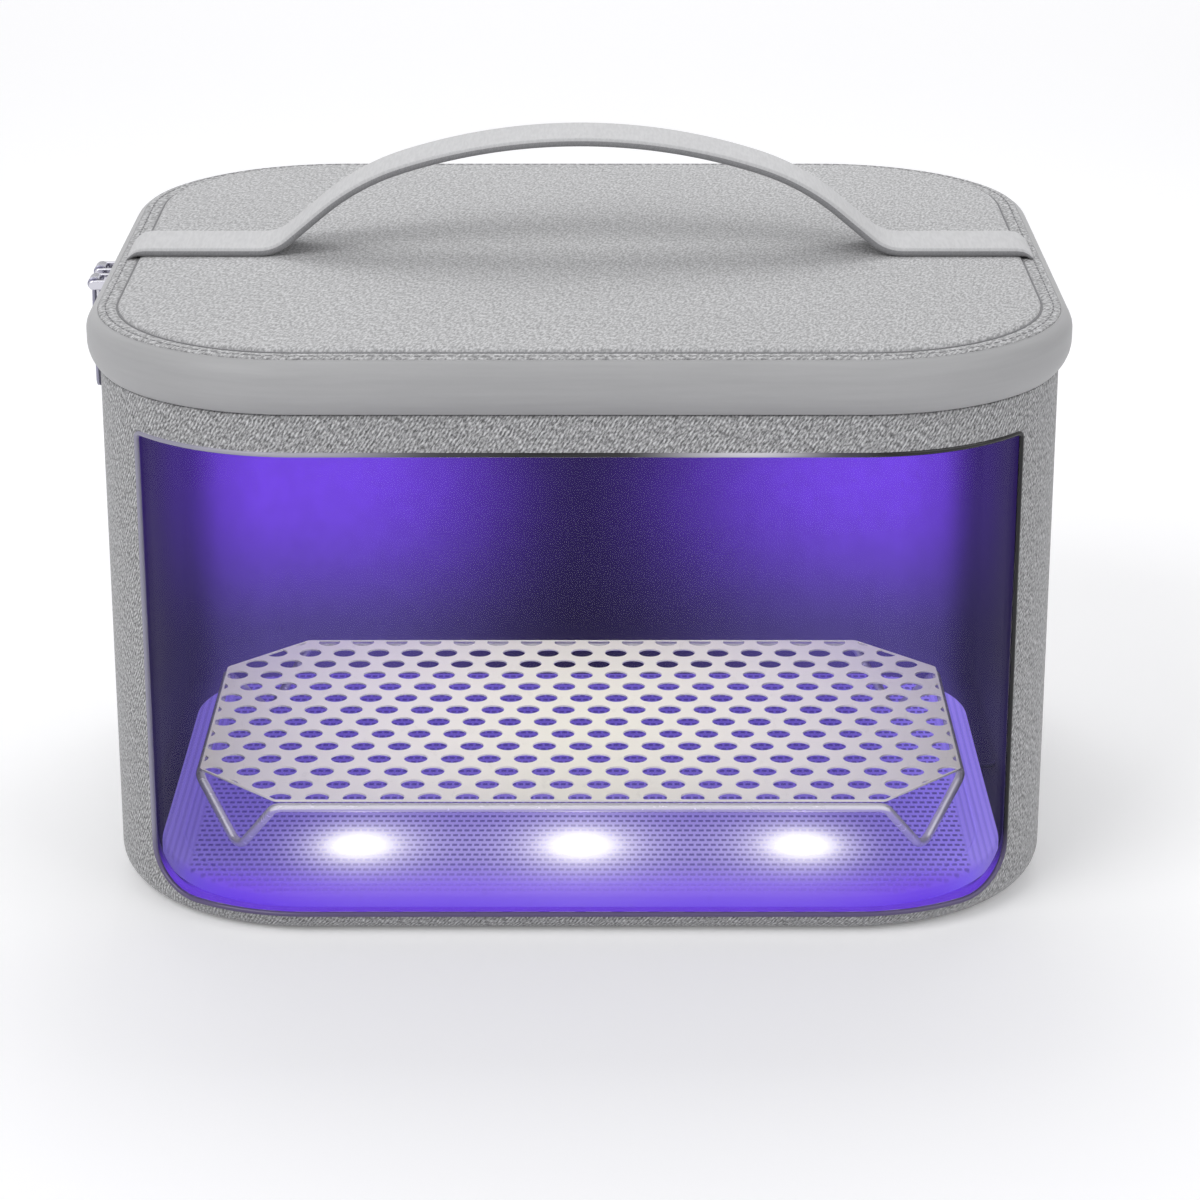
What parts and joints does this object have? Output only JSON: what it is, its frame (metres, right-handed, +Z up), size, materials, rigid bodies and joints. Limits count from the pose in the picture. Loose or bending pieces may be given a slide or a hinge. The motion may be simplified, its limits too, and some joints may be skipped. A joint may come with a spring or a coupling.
{
  "type": "portable disinfection bag",
  "caption": "Zipped carrying case with a clear front, a lamp mat under a removable perforated rack, a hinged lid with an arched strap, and a switch unit in the side wall.",
  "frame": {"origin": "middle of the flat underside, on the surface the bag stands on", "axes": "+X to the right seen from the clear front, +Y from front to back, +Z up"},
  "size_m": [0.319, 0.2636, 0.2281],
  "materials": {
    "shell_fabric": "diagonal twill",
    "panel_fabric": "fine heather weave",
    "strap_fabric": "close ribbed webbing",
    "band_fabric": "smooth coated cloth",
    "piping_cord": "matt",
    "hinge_fabric": "plain weave",
    "lining_cloth": "silvered violet cloth",
    "stiffener": "matt",
    "clear_pane": "polished clear",
    "bead": "polished",
    "mat_mesh": "fine open mesh",
    "board_laminate": "solder mask",
    "lamp_lens": "polished quartz",
    "lead_sleeve": "matt",
    "unit_plastic": "fine spark texture",
    "button_plastic": "satin",
    "indicator": "clear diffusing",
    "switch_plastic": "matt",
    "fitting_steel": "bright",
    "zip_chrome": "polished",
    "zip_coil": "matt",
    "rack_paint": "satin white"
  },
  "bodies": {
    "bag_body": {"body_shell": "shell_fabric", "body_lining": "lining_cloth", "window_pane": "clear_pane", "window_trim": "bead", "floor_mat": "mat_mesh", "led_board": "board_laminate", "uv_led_left": "lamp_lens", "uv_led_centre": "lamp_lens", "uv_led_right": "lamp_lens", "led_lead": "lead_sleeve", "control_bezel": "unit_plastic", "control_housing": "unit_plastic", "control_board": "board_laminate", "control_screws": "fitting_steel", "usb_socket": "fitting_steel", "tact_switch": "switch_plastic", "indicator_lens": "indicator", "reed_switch": "indicator", "zip_chain_lower": "zip_coil", "hinge_leaf_lower": "hinge_fabric"},
    "lid": {"lid_shell": "shell_fabric", "lid_top_panel": "panel_fabric", "lid_piping": "piping_cord", "lid_band": "band_fabric", "lid_board": "stiffener", "lid_lining": "lining_cloth", "zip_chain_upper": "zip_coil", "hinge_leaf_upper": "hinge_fabric", "handle_strap": "strap_fabric", "lid_magnet": "fitting_steel"},
    "slider_front": {"zip_slider_front": "zip_chrome"},
    "pull_front": {"zip_pull_front": "zip_chrome"},
    "slider_rear": {"zip_slider_rear": "zip_chrome"},
    "pull_rear": {"zip_pull_rear": "zip_chrome"},
    "rack": {"rack_plate": "rack_paint", "rack_wire_frame": "rack_paint"},
    "power_button": {"power_button": "button_plastic", "switch_plunger": "switch_plastic"}
  },
  "joints": [
    {"name": "lid_hinge", "type": "hinge", "parent": "bag_body", "child": "lid", "pos_m": [0, 0.1292, 0.1702], "axis": [-1, 0, 0], "range_deg": [0, 110]},
    {"name": "slider_front_slide", "type": "slide", "parent": "bag_body", "child": "slider_front", "axis": [0, -1, 0], "range_m": [0, 0.072]},
    {"name": "slider_rear_slide", "type": "slide", "parent": "bag_body", "child": "slider_rear", "axis": [0, 1, 0], "range_m": [0, 0.02]},
    {"name": "pull_front_swing", "type": "hinge", "parent": "slider_front", "child": "pull_front", "pos_m": [-0.163, 0.02, 0.172], "axis": [0, 1, 0], "range_deg": [-8, 120]},
    {"name": "pull_rear_swing", "type": "hinge", "parent": "slider_rear", "child": "pull_rear", "pos_m": [-0.163, 0.036, 0.172], "axis": [0, 1, 0], "range_deg": [-8, 120]},
    {"name": "rack_lift", "type": "slide", "parent": "bag_body", "child": "rack", "axis": [0, 0, 1], "range_m": [0, 0.12]},
    {"name": "button_press", "type": "slide", "parent": "bag_body", "child": "power_button", "axis": [-1, 0, 0], "range_m": [0, 0.001], "stiffness_N_per_m": 400, "springref_m": -0.0015}
  ]
}
